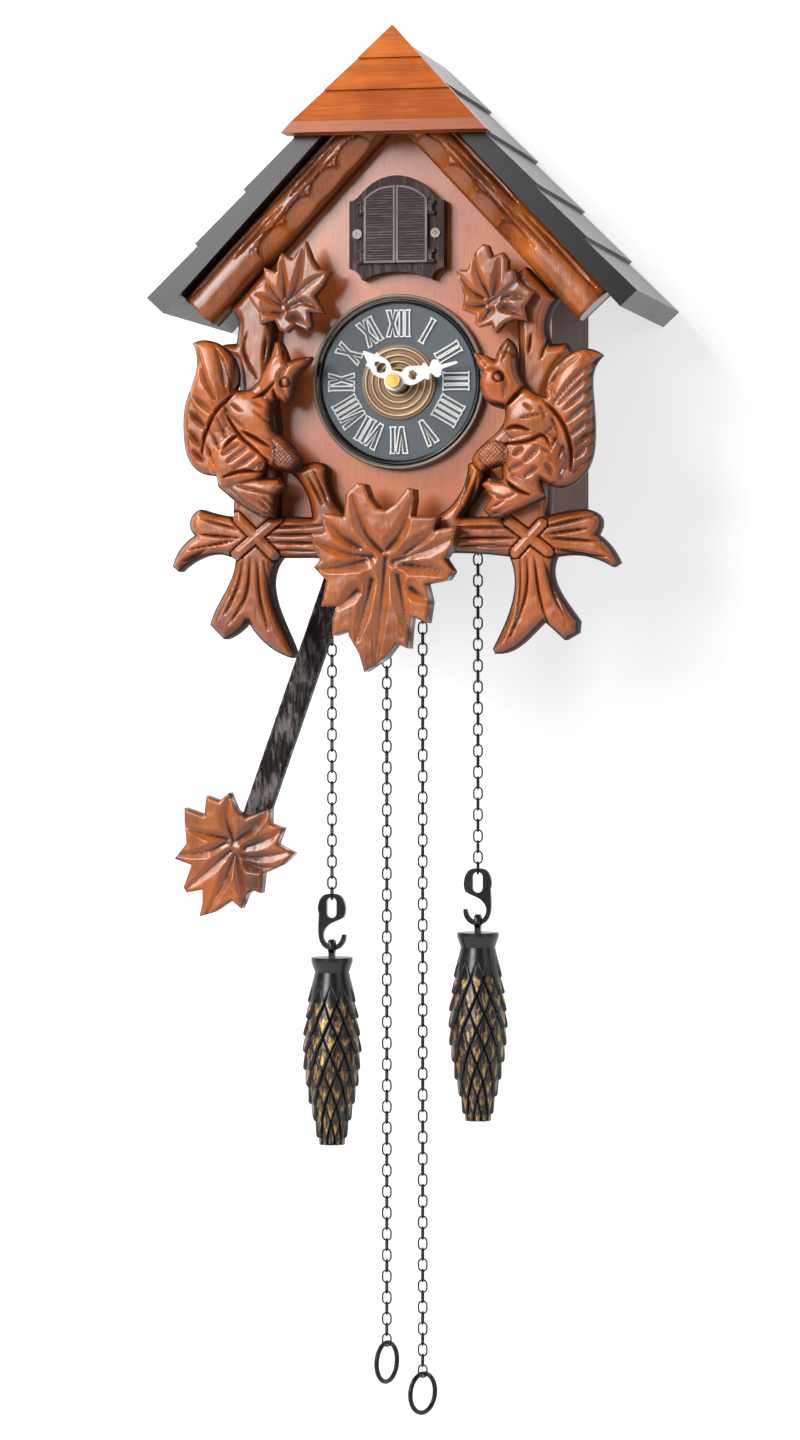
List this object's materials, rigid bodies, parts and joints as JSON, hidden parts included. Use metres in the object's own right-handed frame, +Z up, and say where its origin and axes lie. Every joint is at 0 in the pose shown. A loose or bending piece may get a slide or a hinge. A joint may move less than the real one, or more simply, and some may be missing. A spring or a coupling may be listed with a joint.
{
  "type": "cuckoo clock",
  "caption": "Chalet-shaped wall cuckoo clock with carved branches, squirrels and leaves, round dial, bird doors, leaf pendulum and cone weights on chains.",
  "frame": {"origin": "centre of the hanging hole in the back panel, on the wall plane", "axes": "+X to the viewer's right, +Y into the wall, +Z up"},
  "size_m": [0.2368, 0.1575, 0.6643],
  "materials": {
    "case_wood": "satin stained",
    "case_back_wood": "plain plywood",
    "roof_wood": "dark satin stained",
    "cap_wood": "satin stained",
    "log_wood": "glossy stained",
    "carved_wood": "glossy antique stain",
    "leaf_wood": "glossy antique stain",
    "house_plastic": "dry brushed",
    "door_plastic": "dry brushed",
    "screw_steel": "bright",
    "bezel_plastic": "satin grey",
    "rim_plastic": "gloss black",
    "dial_plastic": "satin slate grey",
    "white_plastic": "moulded white",
    "centre_foil": "turned rings",
    "brass": "polished",
    "movement_plastic": "moulded black",
    "steel": "plain",
    "battery_can": "plain sleeve",
    "rod_plastic": "moulded grain, dry brushed",
    "pendulum_leaf_plastic": "moulded, stained",
    "chain_steel": "gunmetal",
    "black_plastic": "moulded black",
    "cone_paint": "black, gold dry brush",
    "bird_paint": "painted",
    "shelf_wood": "plain",
    "circuit_board": "green"
  },
  "bodies": {
    "case": {"case_left_side": "case_wood", "case_right_side": "case_wood", "case_front": "case_wood", "case_bottom": "case_wood", "back_panel": "case_back_wood", "roof_left": "roof_wood", "roof_right": "roof_wood", "roof_hip": "cap_wood", "gable_log_left": "log_wood", "gable_log_right": "log_wood", "branch_left": "carved_wood", "branch_right": "carved_wood", "squirrel_left": "carved_wood", "squirrel_right": "carved_wood", "leaf_top_left": "leaf_wood", "leaf_top_right": "leaf_wood", "leaf_bottom": "leaf_wood", "dial_bezel": "bezel_plastic", "dial_rim": "rim_plastic", "dial_plate": "dial_plastic", "dial_numerals": "white_plastic", "dial_centre": "centre_foil", "movement_case": "movement_plastic", "movement_bush": "brass", "battery_cell": "battery_can", "pendulum_arbor": "steel", "bird_shelf": "shelf_wood", "bird_drive": "movement_plastic", "door_frame": "house_plastic", "door_hinge_pins": "steel", "door_screws": "screw_steel", "chain_bracket": "steel", "speaker": "movement_plastic", "sound_board": "circuit_board"},
    "pendulum": {"pendulum_hanger": "steel", "pendulum_rod": "rod_plastic", "pendulum_leaf": "pendulum_leaf_plastic"},
    "minute": {"minute_arbor": "steel", "minute_hand": "white_plastic", "hand_nut": "brass"},
    "hour": {"hour_hand": "white_plastic"},
    "knob": {"setting_knob": "movement_plastic"},
    "cuckoo": {"bird_carriage": "steel", "bird": "bird_paint"},
    "shutter_left": {"door_left": "door_plastic"},
    "shutter_right": {"door_right": "door_plastic"},
    "hatch": {"rear_door": "case_back_wood"},
    "latch": {"rear_latch": "brass"},
    "wheel_left": {"chain_wheel_left": "brass"},
    "wheel_right": {"chain_wheel_right": "brass"},
    "weight_left": {"weight_chain_left": "chain_steel", "weight_hook_left": "black_plastic"},
    "weight_right": {"weight_chain_right": "chain_steel", "weight_hook_right": "black_plastic"},
    "cone_left": {"cone_weight_left": "cone_paint"},
    "cone_right": {"cone_weight_right": "cone_paint"},
    "ring_side_left": {"ring_chain_left": "chain_steel"},
    "ring_side_right": {"ring_chain_right": "chain_steel"},
    "ring_left": {"pull_ring_left": "black_plastic"},
    "ring_right": {"pull_ring_right": "black_plastic"}
  },
  "joints": [
    {"name": "pendulum_swing", "type": "hinge", "parent": "case", "child": "pendulum", "pos_m": [0, -0.08, -0.0794], "axis": [0, -1, 0], "range_deg": [0, 38.8]},
    {"name": "minute_turn", "type": "hinge", "parent": "case", "child": "minute", "pos_m": [0, -0.12, -0.095], "axis": [0, 1, 0], "continuous": true},
    {"name": "hour_turn", "type": "hinge", "parent": "case", "child": "hour", "pos_m": [0, -0.12, -0.095], "axis": [0, 1, 0], "continuous": true},
    {"name": "setting_knob_turn", "type": "hinge", "parent": "case", "child": "knob", "pos_m": [0.02072, -0.083, -0.07428], "axis": [0, 1, 0], "continuous": true},
    {"name": "bird_slide", "type": "slide", "parent": "case", "child": "cuckoo", "axis": [0, -1, 0], "range_m": [0, 0.042]},
    {"name": "door_left_swing", "type": "hinge", "parent": "case", "child": "shutter_left", "pos_m": [-0.017, -0.1265, -0.024], "axis": [0, 0, -1], "range_deg": [0, 100.2]},
    {"name": "door_right_swing", "type": "hinge", "parent": "case", "child": "shutter_right", "pos_m": [0.017, -0.1265, -0.024], "axis": [0, 0, 1], "range_deg": [0, 100.2]},
    {"name": "rear_door_swing", "type": "hinge", "parent": "case", "child": "hatch", "pos_m": [-0.041, -0.0025, -0.1], "axis": [0, 0, 1], "range_deg": [0, 110]},
    {"name": "rear_latch_turn", "type": "hinge", "parent": "hatch", "child": "latch", "pos_m": [0.036, -0.0025, -0.095], "axis": [0, 1, 0], "range_deg": [0, 90]},
    {"name": "weight_left_travel", "type": "slide", "parent": "case", "child": "weight_left", "axis": [0, 0, 1], "range_m": [-0.045, 0.032]},
    {"name": "weight_right_travel", "type": "slide", "parent": "case", "child": "weight_right", "axis": [0, 0, 1], "range_m": [-0.045, 0.032]},
    {"name": "weight_left_swing", "type": "hinge", "parent": "weight_left", "child": "cone_left", "pos_m": [-0.0358, -0.105, -0.36675], "axis": [1, 0, 0], "range_deg": [-20, 20]},
    {"name": "weight_right_swing", "type": "hinge", "parent": "weight_right", "child": "cone_right", "pos_m": [0.0358, -0.105, -0.35385], "axis": [1, 0, 0], "range_deg": [-20, 20]},
    {"name": "ring_left_travel", "type": "slide", "parent": "case", "child": "ring_side_left", "axis": [0, 0, 1], "range_m": [-0.0325, 0.0455]},
    {"name": "ring_right_travel", "type": "slide", "parent": "case", "child": "ring_side_right", "axis": [0, 0, 1], "range_m": [-0.0325, 0.0455]},
    {"name": "ring_left_swing", "type": "hinge", "parent": "ring_side_left", "child": "ring_left", "pos_m": [-0.0088, -0.105, -0.55805], "axis": [-0.9397, 0.342, 0], "range_deg": [-25, 25]},
    {"name": "ring_right_swing", "type": "hinge", "parent": "ring_side_right", "child": "ring_right", "pos_m": [0.0088, -0.105, -0.57245], "axis": [-0.8829, 0.4695, 0], "range_deg": [-25, 25]},
    {"name": "wheel_left_turn", "type": "hinge", "parent": "case", "child": "wheel_left", "pos_m": [-0.0223, -0.105, -0.148], "axis": [0, 1, 0], "range_deg": [-192, 137]},
    {"name": "wheel_right_turn", "type": "hinge", "parent": "case", "child": "wheel_right", "pos_m": [0.0223, -0.105, -0.148], "axis": [0, 1, 0], "range_deg": [-137, 192]}
  ],
  "couplings": [
    {"joint": "hour_turn", "follows": "minute_turn", "ratio": 0.083333},
    {"joint": "setting_knob_turn", "follows": "minute_turn", "ratio": 1},
    {"joint": "door_left_swing", "follows": "bird_slide", "rad_per_m": 41.55},
    {"joint": "door_right_swing", "follows": "bird_slide", "rad_per_m": 41.55},
    {"joint": "ring_left_travel", "follows": "weight_left_travel", "ratio": -1},
    {"joint": "ring_right_travel", "follows": "weight_right_travel", "ratio": -1},
    {"joint": "wheel_left_turn", "follows": "weight_left_travel", "rad_per_m": 74.074},
    {"joint": "wheel_right_turn", "follows": "weight_right_travel", "rad_per_m": -74.074}
  ]
}
